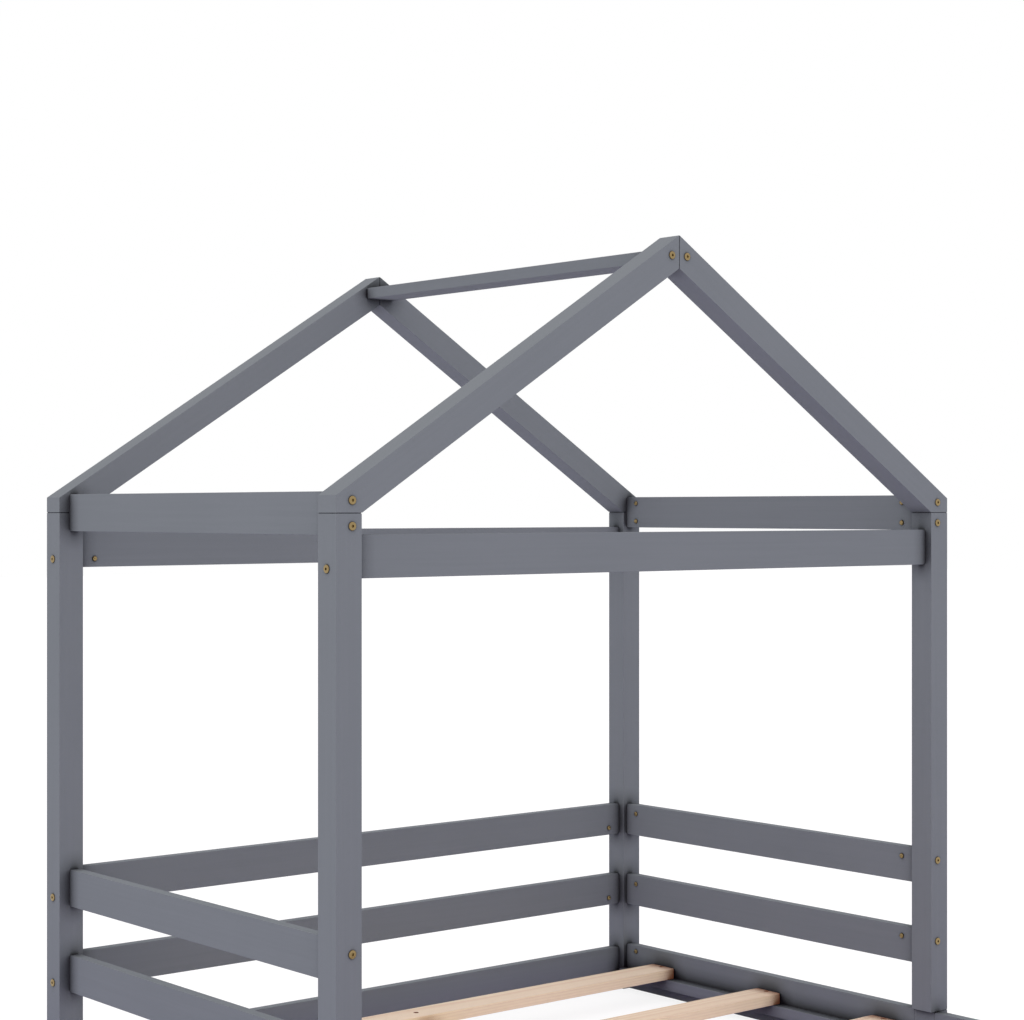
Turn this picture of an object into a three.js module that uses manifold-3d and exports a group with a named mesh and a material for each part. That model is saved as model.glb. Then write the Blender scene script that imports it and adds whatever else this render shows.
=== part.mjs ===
// House bed: a low slatted bed with an open gabled frame over its head half.
// Millimetres, +Z up, the head end at +Y. The origin is on the floor, under the middle of the bed.
import * as THREE from "three";
import { mergeVertices } from "three/addons/utils/BufferGeometryUtils.js";
import Module from "manifold-3d";

const wasm = await Module();
wasm.setup();

// Stock sizes
const postWidth = 50;
const boardWidth = 70;
const boardThickness = 20;
const sideRailHeight = 102;
const slatWidth = 70;
const slatThickness = 22;
const ridgeThickness = 22;
const rafterDepth = 51;
const ledgeWidth = 25;
const ledgeHeight = 24;
const beamWidth = 50;
const cornerRadius = 5;
const postCornerRadius = 1.5;
const easedEdge = 1;

// The bed in plan
const clearWidth = 1400;
const clearLength = 1884;
const houseClearDepth = 854;
const sideRecess = 9;
const slatCount = 6;
const slatMargin = 141.5;
const slatEndGap = 1;

// Heights
const railLift = 3;
const slatSeat = 50;
const guardGap = 92;
const headRailDrop = 8.5;
const housePostLength = 1000;
const tieDrop = 34;
const ridgeDrop = 26.5;
const roofPitch = 32;

// Seams between pieces that touch
const seam = 0.3;

// Connector bolts with barrel nuts
const shankRadius = 3;
const headRadius = 7;
const headThickness = 2.2;
const socketRadius = 2.4;
const socketDepth = 1.6;
const nutRadius = 5;
const nutLength = 19;
const nutSetback = 32.5;
const nutStandout = 3.5;
const shankPastNut = 2;
const boreClearance = 0.5;
const nutClearance = 0.25;
const nutHoleDepth = 17;
const sideBoltDrop = 20.5;
const crossBoltRise = 16;
const eaveBoltSpread = 20.5;
const ridgeBoltSpread = 18.7;
const railBoltDrop = 14;

// Hidden fixings at the mid blocks
const studRadius = 4;
const studDrop = 35;
const pinRadius = 5;
const pinLength = 80;
const pinInset = 15;

// Screw holes in the slats
const slatHoleRadius = 2.5;
const slatHoleFromEnd = 7;

const overrun = 1;
const weld = 1e-4;
const roundSides = 10;
const thinSides = 8;
const socketSides = 6;
const cornerSteps = 1;

const paint = new THREE.MeshStandardMaterial({ color: 0x74777e, roughness: 0.5, metalness: 0 });
const pine = new THREE.MeshStandardMaterial({ color: 0xd9c3aa, roughness: 0.65, metalness: 0 });
const brass = new THREE.MeshStandardMaterial({ color: 0xb08d4a, roughness: 0.35, metalness: 1 });
const steel = new THREE.MeshStandardMaterial({ color: 0x8d9094, roughness: 0.4, metalness: 1 });

const X = new THREE.Vector3(1, 0, 0);
const Y = new THREE.Vector3(0, 1, 0);
const Z = new THREE.Vector3(0, 0, 1);
const sides = { left: -1, right: 1 };

// Places that several pieces share
const innerX = clearWidth / 2;
const outerX = innerX + postWidth;
const railInnerX = innerX + sideRecess;
const railOuterX = railInnerX + boardThickness;
const railMiddleX = railInnerX + boardThickness / 2;
const headInnerY = clearLength / 2;
const headOuterY = headInnerY + postWidth;
const houseInnerY = headInnerY - houseClearDepth;
const houseOuterY = houseInnerY - postWidth;
const crossRecess = (postWidth - boardThickness) / 2;
const headRailInnerY = headInnerY + crossRecess;
const footRailInnerY = -headRailInnerY;
const railTop = railLift + sideRailHeight;
const postTop = railTop + housePostLength;
const lowGuardZ = railTop + guardGap;
const highGuardZ = lowGuardZ + boardWidth + guardGap;
const headRailZ = railTop - headRailDrop - boardWidth;
const tieZ = postTop - tieDrop - boardWidth;
const eaveZ = postTop - boardWidth / 2;
const pitch = THREE.MathUtils.degToRad(roofPitch);
const rafterRise = rafterDepth / Math.cos(pitch);
const roofTop = postTop + innerX * Math.tan(pitch) + rafterRise;
const ridgeZ = roofTop - ridgeDrop - ridgeThickness;

// A closed three.js geometry as a solid, its shared corners merged.
function solidOf(geometry) {
  const bare = new THREE.BufferGeometry();
  bare.setAttribute("position", geometry.getAttribute("position"));
  if (geometry.index) bare.setIndex(geometry.index);
  const merged = mergeVertices(bare, weld);
  return new wasm.Manifold(
    new wasm.Mesh({
      numProp: 3,
      vertProperties: merged.attributes.position.array,
      triVerts: new Uint32Array(merged.index.array),
    }),
  );
}

// A solid back as a three.js geometry.
function geometryOf(solid) {
  const { vertProperties, triVerts } = solid.getMesh();
  const geometry = new THREE.BufferGeometry();
  geometry.setAttribute("position", new THREE.BufferAttribute(vertProperties, 3));
  geometry.setIndex(new THREE.BufferAttribute(triVerts, 1));
  geometry.computeVertexNormals();
  return geometry;
}

// A cylinder from one point along a direction.
function rod(start, direction, length, radius, count) {
  const geometry = new THREE.CylinderGeometry(radius, radius, length, count);
  const middle = start.clone().addScaledVector(direction, length / 2);
  geometry.applyQuaternion(new THREE.Quaternion().setFromUnitVectors(Y, direction));
  return geometry.translate(middle.x, middle.y, middle.z);
}

// A flat outline made as thick as the board, with its arrises eased, its middle at the origin.
function easedSlab(shape, thickness) {
  const geometry = new THREE.ExtrudeGeometry(shape, {
    depth: thickness - 2 * easedEdge,
    bevelThickness: easedEdge,
    bevelSize: easedEdge,
    bevelOffset: -easedEdge,
    bevelSegments: 1,
    curveSegments: cornerSteps,
  });
  return geometry.translate(0, 0, easedEdge - thickness / 2);
}

// A rectangle round the origin, with round corners.
function roundedRectangle(width, height, radius) {
  const [x, y] = [width / 2 - radius, height / 2 - radius];
  const shape = new THREE.Shape();
  shape.absarc(x, y, radius, 0, Math.PI / 2);
  shape.absarc(-x, y, radius, Math.PI / 2, Math.PI);
  shape.absarc(-x, -y, radius, Math.PI, 1.5 * Math.PI);
  shape.absarc(x, -y, radius, 1.5 * Math.PI, 2 * Math.PI);
  shape.closePath();
  return shape;
}

// Turns a slab so that its thickness runs along the named axis.
const turns = {
  x: new THREE.Matrix4().makeBasis(Y, Z, X),
  y: new THREE.Matrix4().makeBasis(Z, X, Y),
  z: new THREE.Matrix4(),
};
const facesAcross = { x: ["y", "z"], y: ["z", "x"], z: ["x", "y"] };

// Every bore of the bed: a solid in the bed's frame and the box that it fills.
const bores = [];

function addBore(geometry) {
  geometry.computeBoundingBox();
  bores.push({ solid: solidOf(geometry), box: geometry.boundingBox });
}

const bed = new THREE.Group();
const planned = [];

// Notes a piece: its geometry round its own middle, and where that middle lies.
function plan(name, group, material, geometry, middle) {
  planned.push({ name, group, material, geometry, middle });
}

// A board or post that fills a box given by its low and high corners.
function board(name, group, material, low, high, along) {
  const box = new THREE.Box3(new THREE.Vector3(...low), new THREE.Vector3(...high));
  const size = box.getSize(new THREE.Vector3());
  const thin = along ?? ["x", "y", "z"].reduce((a, b) => (size[a] <= size[b] ? a : b));
  const [across, up] = facesAcross[thin];
  const radius = along ? postCornerRadius : cornerRadius;
  const outline = roundedRectangle(size[across], size[up], radius);
  const geometry = easedSlab(outline, size[thin]).applyMatrix4(turns[thin]);
  plan(name, group, material, geometry, box.getCenter(new THREE.Vector3()));
}

// A board that is the same on the left and on the right, given by its box on the right.
function boardOnBothSides(name, group, material, low, high, along) {
  for (const [side, sign] of Object.entries(sides)) {
    const reach = [sign * low[0], sign * high[0]].sort((a, b) => a - b);
    board(name(side), group, material, [reach[0], low[1], low[2]], [reach[1], high[1], high[2]], along);
  }
}

function subgroup() {
  const group = new THREE.Group();
  bed.add(group);
  return group;
}
const base = subgroup();
const house = subgroup();
const guards = subgroup();
const fixings = subgroup();

// Bed base: posts, blocks, rails, ledges, centre beam and slats
boardOnBothSides((side) => "head_post_" + side, base, paint,
  [innerX, headInnerY, 0], [outerX, headOuterY, postTop], "z");
boardOnBothSides((side) => "foot_post_" + side, base, paint,
  [innerX, -headOuterY, 0], [outerX, -headInnerY, railTop], "z");
boardOnBothSides((side) => "mid_block_" + side, base, paint,
  [railInnerX, houseOuterY, 0], [outerX, houseInnerY, railTop], "z");
boardOnBothSides((side) => "head_side_rail_" + side, base, paint,
  [railInnerX, houseInnerY + seam, railLift], [railOuterX, headInnerY - seam, railTop]);
boardOnBothSides((side) => "foot_side_rail_" + side, base, paint,
  [railInnerX, seam - headInnerY, railLift], [railOuterX, houseOuterY - seam, railTop]);
boardOnBothSides((side) => "slat_ledge_" + side, base, paint,
  [railInnerX - seam - ledgeWidth, seam - headInnerY, slatSeat - seam - ledgeHeight],
  [railInnerX - seam, headInnerY - seam, slatSeat - seam]);
board("head_rail", base, paint,
  [seam - innerX, headRailInnerY, headRailZ],
  [innerX - seam, headRailInnerY + boardThickness, headRailZ + boardWidth]);
board("foot_rail", base, paint,
  [seam - innerX, footRailInnerY - boardThickness, headRailZ],
  [innerX - seam, footRailInnerY, headRailZ + boardWidth]);

const slatHalfLength = railInnerX - slatEndGap;
const slatHoleX = slatHalfLength - slatHoleFromEnd;
const firstSlatY = headRailInnerY - slatMargin;
const beamEndY = firstSlatY + slatWidth / 2;
board("centre_beam", base, pine,
  [-beamWidth / 2, -beamEndY, 0],
  [beamWidth / 2, beamEndY, slatSeat - seam]);
const slatPitch = (2 * firstSlatY) / (slatCount - 1);
for (let n = 0; n < slatCount; n++) {
  const y = firstSlatY - n * slatPitch;
  board("slat_" + (n + 1), base, pine,
    [-slatHalfLength, y - slatWidth / 2, slatSeat],
    [slatHalfLength, y + slatWidth / 2, slatSeat + slatThickness]);
  for (const x of [-slatHoleX, 0, slatHoleX]) {
    const start = new THREE.Vector3(x, y, slatSeat - seam / 2);
    addBore(rod(start, Z, slatThickness + overrun, slatHoleRadius, thinSides));
  }
}

// House frame: front posts, rafters, eave rails, tie beams and ridge board
boardOnBothSides((side) => "house_post_" + side, house, paint,
  [innerX, houseOuterY, railTop + seam], [outerX, houseInnerY, postTop], "z");
boardOnBothSides((side) => "eave_rail_" + side, house, paint,
  [railInnerX, houseInnerY + seam, eaveZ], [railOuterX, headInnerY - seam, eaveZ + boardWidth]);
board("ridge_board", house, paint,
  [-boardWidth / 2, houseInnerY + seam, ridgeZ],
  [boardWidth / 2, headInnerY - seam, ridgeZ + ridgeThickness]);

// A rafter's outline seen from the front, from its post's outer face up to the mitre.
function rafterOutline(sign) {
  const tan = Math.tan(pitch);
  const points = [
    [outerX, seam],
    [innerX, seam],
    [seam / 2, (innerX - seam / 2) * tan + seam],
    [seam / 2, (innerX - seam / 2) * tan + rafterRise],
    [outerX, rafterRise - postWidth * tan],
  ];
  return new THREE.Shape(points.map(([x, z]) => new THREE.Vector2(z, sign * x)));
}

const gables = { front: [houseOuterY, houseInnerY], rear: [headInnerY, headOuterY] };
for (const [end, [nearY, farY]] of Object.entries(gables)) {
  const middleY = (nearY + farY) / 2;
  for (const [side, sign] of Object.entries(sides)) {
    const geometry = easedSlab(rafterOutline(sign), postWidth).applyMatrix4(turns.y);
    plan(end + "_rafter_" + side, house, paint, geometry, new THREE.Vector3(0, middleY, postTop));
  }
  board(end + "_tie_beam", house, paint,
    [seam - innerX, middleY - boardThickness / 2, tieZ],
    [innerX - seam, middleY + boardThickness / 2, tieZ + boardWidth]);
}

// Guard rails on both sides and across the head
for (const [level, z] of Object.entries({ lower: lowGuardZ, upper: highGuardZ })) {
  boardOnBothSides((side) => side + "_guard_" + level, guards, paint,
    [railInnerX, houseInnerY + seam, z], [railOuterX, headInnerY - seam, z + boardWidth]);
  board("rear_guard_" + level, guards, paint,
    [seam - innerX, headRailInnerY, z],
    [innerX - seam, headRailInnerY + boardThickness, z + boardWidth]);
}

// A connector bolt screwed into its barrel nut, with the bores for both. It starts on a post's
// outer face, runs along a direction through the post into the end of a board, and the nut is
// let into the board's face that looks along faceNormal, with its end standing out of it.
function connector(name, start, direction, faceNormal, thickness = boardThickness) {
  const toNut = postWidth + seam + nutSetback;
  const shankLength = toNut + nutRadius + shankPastNut;
  const nutCentre = start.clone().addScaledVector(direction, toNut);
  const boardFace = nutCentre.clone().addScaledVector(faceNormal, thickness / 2);
  const inward = faceNormal.clone().negate();
  const nutStart = boardFace.clone().addScaledVector(faceNormal, nutStandout);
  const mouth = boardFace.clone().addScaledVector(faceNormal, overrun);
  const boreStart = start.clone().addScaledVector(direction, -overrun);
  addBore(rod(boreStart, direction, shankLength + 2 * overrun, shankRadius + boreClearance, thinSides));
  addBore(rod(mouth, inward, nutHoleDepth + overrun, nutRadius + nutClearance, roundSides));
  if (!name) return;
  const outward = direction.clone().negate();
  const socketFloor = headThickness - socketDepth;
  const headSeat = start.clone().addScaledVector(outward, seam);
  const shankStart = headSeat.clone().addScaledVector(outward, socketFloor / 2);
  const socketStart = headSeat.clone().addScaledVector(outward, socketFloor);
  const shankReach = shankLength + seam + socketFloor / 2;
  const bolt = solidOf(rod(headSeat, outward, headThickness, headRadius, roundSides))
    .add(solidOf(rod(shankStart, direction, shankReach, shankRadius, thinSides)))
    .add(solidOf(rod(nutStart, inward, nutLength, nutRadius, roundSides)))
    .subtract(solidOf(rod(socketStart, outward, socketDepth + overrun, socketRadius, socketSides)));
  plan(name, fixings, brass, geometryOf(bolt), new THREE.Vector3());
}

// The connectors of both gables and of the guard rails, each starting on its post's outer face.
const headward = Y;
const footward = Y.clone().negate();
const gableEnds = {
  front: { face: houseOuterY, inward: headward },
  rear: { face: headOuterY, inward: footward },
};
for (const [end, { face, inward }] of Object.entries(gableEnds)) {
  const middleY = face + (inward.y * postWidth) / 2;
  for (const [side, sign] of Object.entries(sides)) {
    const inwardX = X.clone().multiplyScalar(-sign);
    const onEnd = (x, z) => new THREE.Vector3(sign * x, face, z);
    const onSide = (z) => new THREE.Vector3(sign * outerX, middleY, z);
    const ridgeStart = onEnd(ridgeBoltSpread, ridgeZ + ridgeThickness / 2);
    connector(`ridge_bolt_${end}_${side}`, ridgeStart, inward, Z, ridgeThickness);
    connector(`tie_bolt_${end}_${side}`, onSide(tieZ + crossBoltRise), inwardX, inward);
    for (const [level, rise] of Object.entries({ upper: eaveBoltSpread, lower: -eaveBoltSpread })) {
      connector(`eave_bolt_${end}_${side}_${level}`, onEnd(railMiddleX, postTop + rise), inward, inwardX);
    }
    for (const z of [lowGuardZ, highGuardZ]) {
      connector("", onEnd(railMiddleX, z + boardWidth - sideBoltDrop), inward, inwardX);
      if (end === "rear") connector("", onSide(z + crossBoltRise), inwardX, inward);
    }
  }
}

// The connectors of the bed's own rails, at its four corners. The nuts of the head and foot rails
// look towards the head.
for (const [side, sign] of Object.entries(sides)) {
  const inwardX = X.clone().multiplyScalar(-sign);
  const onEnd = (y) => new THREE.Vector3(sign * railMiddleX, y, railTop - railBoltDrop);
  const onSide = (y) => new THREE.Vector3(sign * outerX, y, headRailZ + crossBoltRise);
  connector("", onEnd(headOuterY), footward, inwardX);
  connector("side_rail_bolt_" + side, onEnd(-headOuterY), headward, inwardX);
  connector("", onSide(headRailInnerY + boardThickness / 2), inwardX, headward);
  connector("", onSide(footRailInnerY - boardThickness / 2), inwardX, headward);
}

// Mid blocks: a stud with a barrel nut in either side rail, and a pin up into the house post
const studHeight = railTop - studDrop;
for (const [side, sign] of Object.entries(sides)) {
  const outwardX = X.clone().multiplyScalar(sign);
  const nutYs = [houseOuterY - seam - nutSetback, houseInnerY + seam + nutSetback];
  const pastNut = nutRadius + shankPastNut;
  const studStart = new THREE.Vector3(sign * railMiddleX, nutYs[0] - pastNut, studHeight);
  const studLength = nutYs[1] - nutYs[0] + 2 * pastNut;
  const boreStart = studStart.clone().addScaledVector(Y, -overrun);
  addBore(rod(boreStart, Y, studLength + 2 * overrun, studRadius + boreClearance, thinSides));
  let stud = solidOf(rod(studStart, Y, studLength, studRadius, thinSides));
  for (const y of nutYs) {
    const mouth = new THREE.Vector3(sign * (railInnerX - overrun), y, studHeight);
    const nutStart = new THREE.Vector3(sign * (railInnerX - nutStandout), y, studHeight);
    addBore(rod(mouth, outwardX, nutHoleDepth + overrun, nutRadius + nutClearance, roundSides));
    stud = stud.add(solidOf(rod(nutStart, outwardX, nutLength, nutRadius, roundSides)));
  }
  plan("rail_stud_" + side, fixings, steel, geometryOf(stud), new THREE.Vector3());

  const pinFoot = new THREE.Vector3(
    sign * (outerX - pinInset),
    (houseOuterY + houseInnerY) / 2,
    railTop - pinLength / 2,
  );
  const pinBore = pinFoot.clone().addScaledVector(Z, -seam);
  addBore(rod(pinBore, Z, pinLength + 2 * seam, pinRadius + nutClearance, thinSides));
  const pin = rod(pinFoot, Z, pinLength, pinRadius, thinSides);
  plan("post_pin_" + side, fixings, steel, pin, new THREE.Vector3());
}

// Cuts the bores out of the wood and hangs each piece in its group.
for (const { name, group, material, geometry, middle } of planned) {
  let shape = geometry;
  if (group !== fixings) {
    geometry.computeBoundingBox();
    const reach = geometry.boundingBox.clone().translate(middle);
    const cutters = bores.filter(({ box }) => box.intersectsBox(reach));
    const offset = middle.clone().negate().toArray();
    const cut = (wood, { solid }) => wood.subtract(solid.translate(offset));
    if (cutters.length) shape = geometryOf(cutters.reduce(cut, solidOf(geometry)));
  }
  const mesh = new THREE.Mesh(shape, material);
  mesh.name = name;
  mesh.position.copy(middle);
  group.add(mesh);
}

export default bed;
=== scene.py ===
"""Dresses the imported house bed: finer boards, bolts, screws, finishes and stage."""

import functools
import math

import bmesh
import bpy
import numpy as np
from bpy.props import FloatProperty, FloatVectorProperty, IntProperty, PointerProperty
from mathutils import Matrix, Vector


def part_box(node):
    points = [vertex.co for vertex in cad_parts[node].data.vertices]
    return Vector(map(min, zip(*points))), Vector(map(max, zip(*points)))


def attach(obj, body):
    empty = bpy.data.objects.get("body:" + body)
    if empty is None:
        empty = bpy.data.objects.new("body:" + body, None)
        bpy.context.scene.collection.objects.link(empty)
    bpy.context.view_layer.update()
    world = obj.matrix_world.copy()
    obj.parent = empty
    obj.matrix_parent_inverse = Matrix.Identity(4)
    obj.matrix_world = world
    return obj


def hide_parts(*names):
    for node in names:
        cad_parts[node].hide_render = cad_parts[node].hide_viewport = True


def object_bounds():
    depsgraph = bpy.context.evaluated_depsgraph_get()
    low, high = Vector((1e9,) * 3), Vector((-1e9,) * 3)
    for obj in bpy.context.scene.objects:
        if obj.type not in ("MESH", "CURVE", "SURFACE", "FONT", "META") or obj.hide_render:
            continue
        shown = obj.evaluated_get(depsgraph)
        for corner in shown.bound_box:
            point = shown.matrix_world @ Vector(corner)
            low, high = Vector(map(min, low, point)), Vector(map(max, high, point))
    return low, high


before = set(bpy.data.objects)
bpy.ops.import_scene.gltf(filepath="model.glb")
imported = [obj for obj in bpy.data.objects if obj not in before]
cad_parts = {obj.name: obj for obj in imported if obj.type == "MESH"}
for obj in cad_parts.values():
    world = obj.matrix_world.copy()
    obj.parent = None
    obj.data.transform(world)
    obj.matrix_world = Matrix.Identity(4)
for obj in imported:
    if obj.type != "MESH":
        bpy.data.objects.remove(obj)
cad_box = [list(corner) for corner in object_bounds()]

bl_info = {
    "name": "House bed",
    "version": (1, 0, 0),
    "blender": (4, 5, 0),
    "location": "3D View > Sidebar > House bed",
    "description": "Builds the visible pieces of a wooden house bed round its packed frame",
    "category": "Object",
}

BODY = "root"
PAINTED, PINE, BRASS, STEEL = "painted wood", "natural pine", "brass", "steel"
SIDES = {"left": -1, "right": 1}
X, Y, Z = np.eye(3)


def both_sides(*kinds):
    return [f"{kind}_{side}" for kind in kinds for side in SIDES]


# Boards by the operator that makes them
POSTS = both_sides("head_post", "foot_post", "house_post", "mid_block")
BED_RAILS = [*both_sides("head_side_rail", "foot_side_rail"), "head_rail", "foot_rail"]
LEDGES = both_sides("slat_ledge")
SLATS = [name for name in sorted(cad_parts)
         if name.startswith("slat_") and name not in LEDGES]
PINE_BOARDS = [*SLATS, "centre_beam"]
GUARDS = [f"{side}_guard_{level}" for side in (*SIDES, "rear") for level in ("lower", "upper")]
HOUSE_BOARDS = [*both_sides("eave_rail"), "front_tie_beam", "rear_tie_beam", "ridge_board"]
RAFTERS = both_sides("front_rafter", "rear_rafter")

# Details too small to be settings, in metres
OVERSHOOT = 0.001  # how far a cutter starts outside the wood
MERGED, SLIVER = 2e-6, 1e-7  # points this close become one, and edges this short go
ROD_EASE = 0.0006  # chamfer of studs and pins
HEAD_EASE = 0.0002  # chamfers of a bolt's head and of its socket
DRILL_TIP = 0.0004  # hollow in the socket's floor
THREAD_LENGTH, THREAD_PITCH, THREAD_DEPTH = 0.030, 0.0009, 0.0004
THREAD_END, THREAD_CHAMFER = 0.001, 0.0006  # the shank's plain end beyond its thread
SCREW_EASE = 0.0001  # chamfers of a screw's head

# The floor and the mouth of a hex socket and of a cross recess, as shares of its outline
SOCKET_FLOOR, SOCKET_MOUTH = 0.6, 1.08
RECESS_FLOOR, RECESS_MOUTH = 0.45, 1.05

SHARP = math.radians(38)  # faces that meet at less than this angle are shaded as one


# Sizes and colours that a user would change


def length(name, text, default):
    return FloatProperty(name=name, description=text, default=default, min=0, precision=5,
                         unit="LENGTH")


def share(name, text, default):
    return FloatProperty(name=name, description=text, default=default, min=0, max=1,
                         subtype="FACTOR")


def strength(name, text, default):
    return FloatProperty(name=name, description=text, default=default, min=0)


def angle(name, text, degrees):
    return FloatProperty(name=name, description=text, default=math.radians(degrees),
                         subtype="ANGLE")


def count(name, text, default):
    return IntProperty(name=name, description=text, default=default, min=1)


def colour(name, text, *parts):
    return FloatVectorProperty(name=name, description=text, default=parts, min=0, max=1,
                               subtype="COLOR")


def settings(name):
    """One of the scene's property groups below."""
    return getattr(bpy.context.scene, "house_bed_" + name)


class BoardSizes(bpy.types.PropertyGroup):
    corner: length("Corner", "Radius of the corners of a board's face", 0.005)
    arris: length("Arris", "Radius of the edge between a board's face and its sides", 0.0008)
    post_edge: length("Post edge", "Radius of the long edges of posts and rafters", 0.0005)
    post_end: length("Post end", "Radius at the cut ends of posts and rafters", 0.0003)
    steps: count("Steps", "Facets in a quarter turn", 4)
    seam: length("Seam", "Gap that the frame leaves between neighbouring boards", 0.0003)
    contact: length("Contact", "What is left of that gap where two boards touch", 0.00002)
    groove: length("Groove", "How far a post's end face is set back at a joint", 0.0005)
    groove_depth: length("Groove depth", "Depth of the dark line round a joint", 0.001)
    roof_pitch: angle("Roof pitch", "Slope of the rafters", 32)


class ConnectorSizes(bpy.types.PropertyGroup):
    shank: length("Shank", "Radius of a bolt's shank", 0.003)
    head: length("Head", "Radius of a bolt's wide flat head", 0.007)
    head_height: length("Head height", "From the wood to the top of the head", 0.0023)
    rim: share("Rim", "Round part of the head's height", 0.55)
    rim_steps: count("Rim steps", "Points in the round of the head's rim", 5)
    socket: length("Socket", "From the middle of the hex socket to its flats", 0.0022)
    socket_depth: length("Socket depth", "Depth of that socket", 0.003)
    seat: length("Seat", "Gap between the wood and the head", 0.0001)
    nut: length("Nut", "Radius of a barrel nut", 0.0046)
    nut_length: length("Nut length", "Length of a barrel nut", 0.019)
    nut_dome: length("Nut dome", "Height of the round on the nut's end", 0.002)
    nut_setback: length("Nut setback", "From the board's end to the nut's axis", 0.0325)
    nut_standout: length("Nut standout", "From the board's face up to the nut's end", 0.0035)
    ridge_standout: length("Ridge standout", "The same on the ridge board", 0.0)
    nut_slot: length("Nut slot", "Width of the driver slot across the nut's end", 0.0012)
    slot_depth: length("Slot depth", "Depth of that slot", 0.0008)
    past_nut: length("Past nut", "Shank beyond the nut", 0.0024)
    stud: length("Stud", "Radius of the rod through a mid block", 0.004)
    pin_bore: length("Pin bore", "Radius of the bore round the pin up into a house post", 0.00525)
    shank_room: length("Shank room", "Clearance round the shank", 0.0005)
    nut_room: length("Nut room", "Clearance round the nut", 0.0007)
    nut_hole: length("Nut hole", "Depth of the nut's blind hole", 0.017)
    side_drop: length("Side drop", "From a side guard's top down to its bolt", 0.0205)
    cross_rise: length("Cross rise", "From a cross board's underside up to its bolt", 0.016)
    eave_spread: length("Eave spread", "From the post's top up or down to an eave bolt", 0.0205)
    ridge_spread: length("Ridge spread", "From the ridge to the bolt on either side", 0.0187)
    rail_drop: length("Rail drop", "From a side rail's top down to its bolt", 0.014)
    around: count("Around", "Points round a turned piece", 48)


class ScrewSizes(bpy.types.PropertyGroup):
    head: length("Head", "Radius of the countersunk head", 0.0042)
    shank: length("Shank", "Radius of the shank", 0.0018)
    reach: length("Reach", "From the head's top to the tip", 0.035)
    sink: length("Sink", "From the wood's face down to the head", 0.0045)
    cone: length("Cone", "From the head's top down to the plain shank", 0.0025)
    point: length("Point", "Length of the tapered tip", 0.006)
    hole: length("Hole", "Radius of the counterbore at the face", 0.0056)
    head_room: length("Head room", "Counterbore below the head's top", 0.0004)
    room: length("Room", "Clearance round the shank", 0.0003)
    past_tip: length("Past tip", "Bore beyond the tip", 0.003)
    cross_long: length("Cross long", "Half the length of the cross recess", 0.0019)
    cross_wide: length("Cross wide", "Half the width of the recess's arms", 0.0005)
    cross_deep: length("Cross deep", "Down to the edge of the recess's floor", 0.0016)
    cross_tip: length("Cross tip", "Down to the middle of that floor", 0.0019)
    from_end: length("From end", "From the slat's end to its outer screw", 0.007)
    ledge_aside: length("Ledge aside", "From a slat's middle to the ledge screw under it", 0.022)
    around: count("Around", "Points round a screw", 32)


class Finishes(bpy.types.PropertyGroup):
    paint: colour("Paint", "Matt grey paint", 0.191, 0.2145, 0.2275)
    paint_deep: colour("Paint deep", "In the grain, where the coat is thick", 0.183, 0.2065, 0.219)
    # arrises are lighter partly for thin paint, partly as a painted highlight along the edges
    paint_thin_highlight: colour("Paint thin highlight", "On the arrises, where the coat is thin", 0.205, 0.228, 0.239)
    # painted shade: the colour paint turns to where other pieces lie close
    paint_joint: colour("Paint joint", "Shade where painted pieces meet", 0.01, 0.009, 0.012)
    paint_roughness: share("Paint roughness", "Roughness of the paint", 0.8)
    paint_gloss: share("Paint gloss", "Specular level of the paint", 0.02)
    pine: colour("Pine", "Earlywood of planed pine", 0.806, 0.672, 0.503)
    pine_late: colour("Pine late", "Darker growth rings", 0.64, 0.405, 0.24)
    # painted light: a slat's narrow faces are made paler so that they look as lit as its top
    pine_sides_lit: colour("Pine sides lit", "Paler wood on a slat's narrow faces", 1, 0.852, 0.547)
    pine_knot: colour("Pine knot", "Knots and resin streaks", 0.265, 0.11, 0.05)
    # painted shade: the reddish colour pine turns to at the slats' ends, where other pieces lie
    # close
    pine_joint: colour("Pine joint", "Reddish shade at the slats' ends", 0.24, 0.075, 0.03)
    pine_pitch: length("Pine pitch", "Boards this far apart have growth rings of their own", 0.3262)
    pine_rings: length("Pine rings", "Width of a growth ring", 0.006)
    brass: colour("Brass", "Clean brass plating", 0.323, 0.24, 0.11)
    brass_dull: colour("Brass dull", "Dull brass plating", 0.225, 0.152, 0.064)
    # painted shade: the colour brass turns to in its sockets and under its heads
    brass_joint: colour("Brass joint", "Tarnish in sockets and under heads", 0.05, 0.028, 0.008)
    steel: colour("Steel", "Clean zinc plating", 0.33, 0.335, 0.345)
    steel_dull: colour("Steel dull", "Zinc plating gone grey", 0.16, 0.16, 0.165)
    # painted shade in the sunk heads of the screws
    steel_joint: colour("Steel joint", "Shade in sunk heads", 0.02, 0.015, 0.01)
    tarnish: share("Tarnish", "How dull the dullest spots of the plating are", 0.4)
    wood_relief: length("Wood relief", "Height of the grain and the peel", 0.0003)
    metal_relief: length("Metal relief", "Depth of fine scratches", 0.0001)
    joint_reach: length("Joint reach", "How far the shade at a joint spreads on wood", 0.038)
    recess_reach: length("Recess reach", "How far the shade in a recess spreads on metal", 0.006)
    floor_reach: length("Floor reach", "Painted wood this close to the floor has no shade", 0.02)


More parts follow.
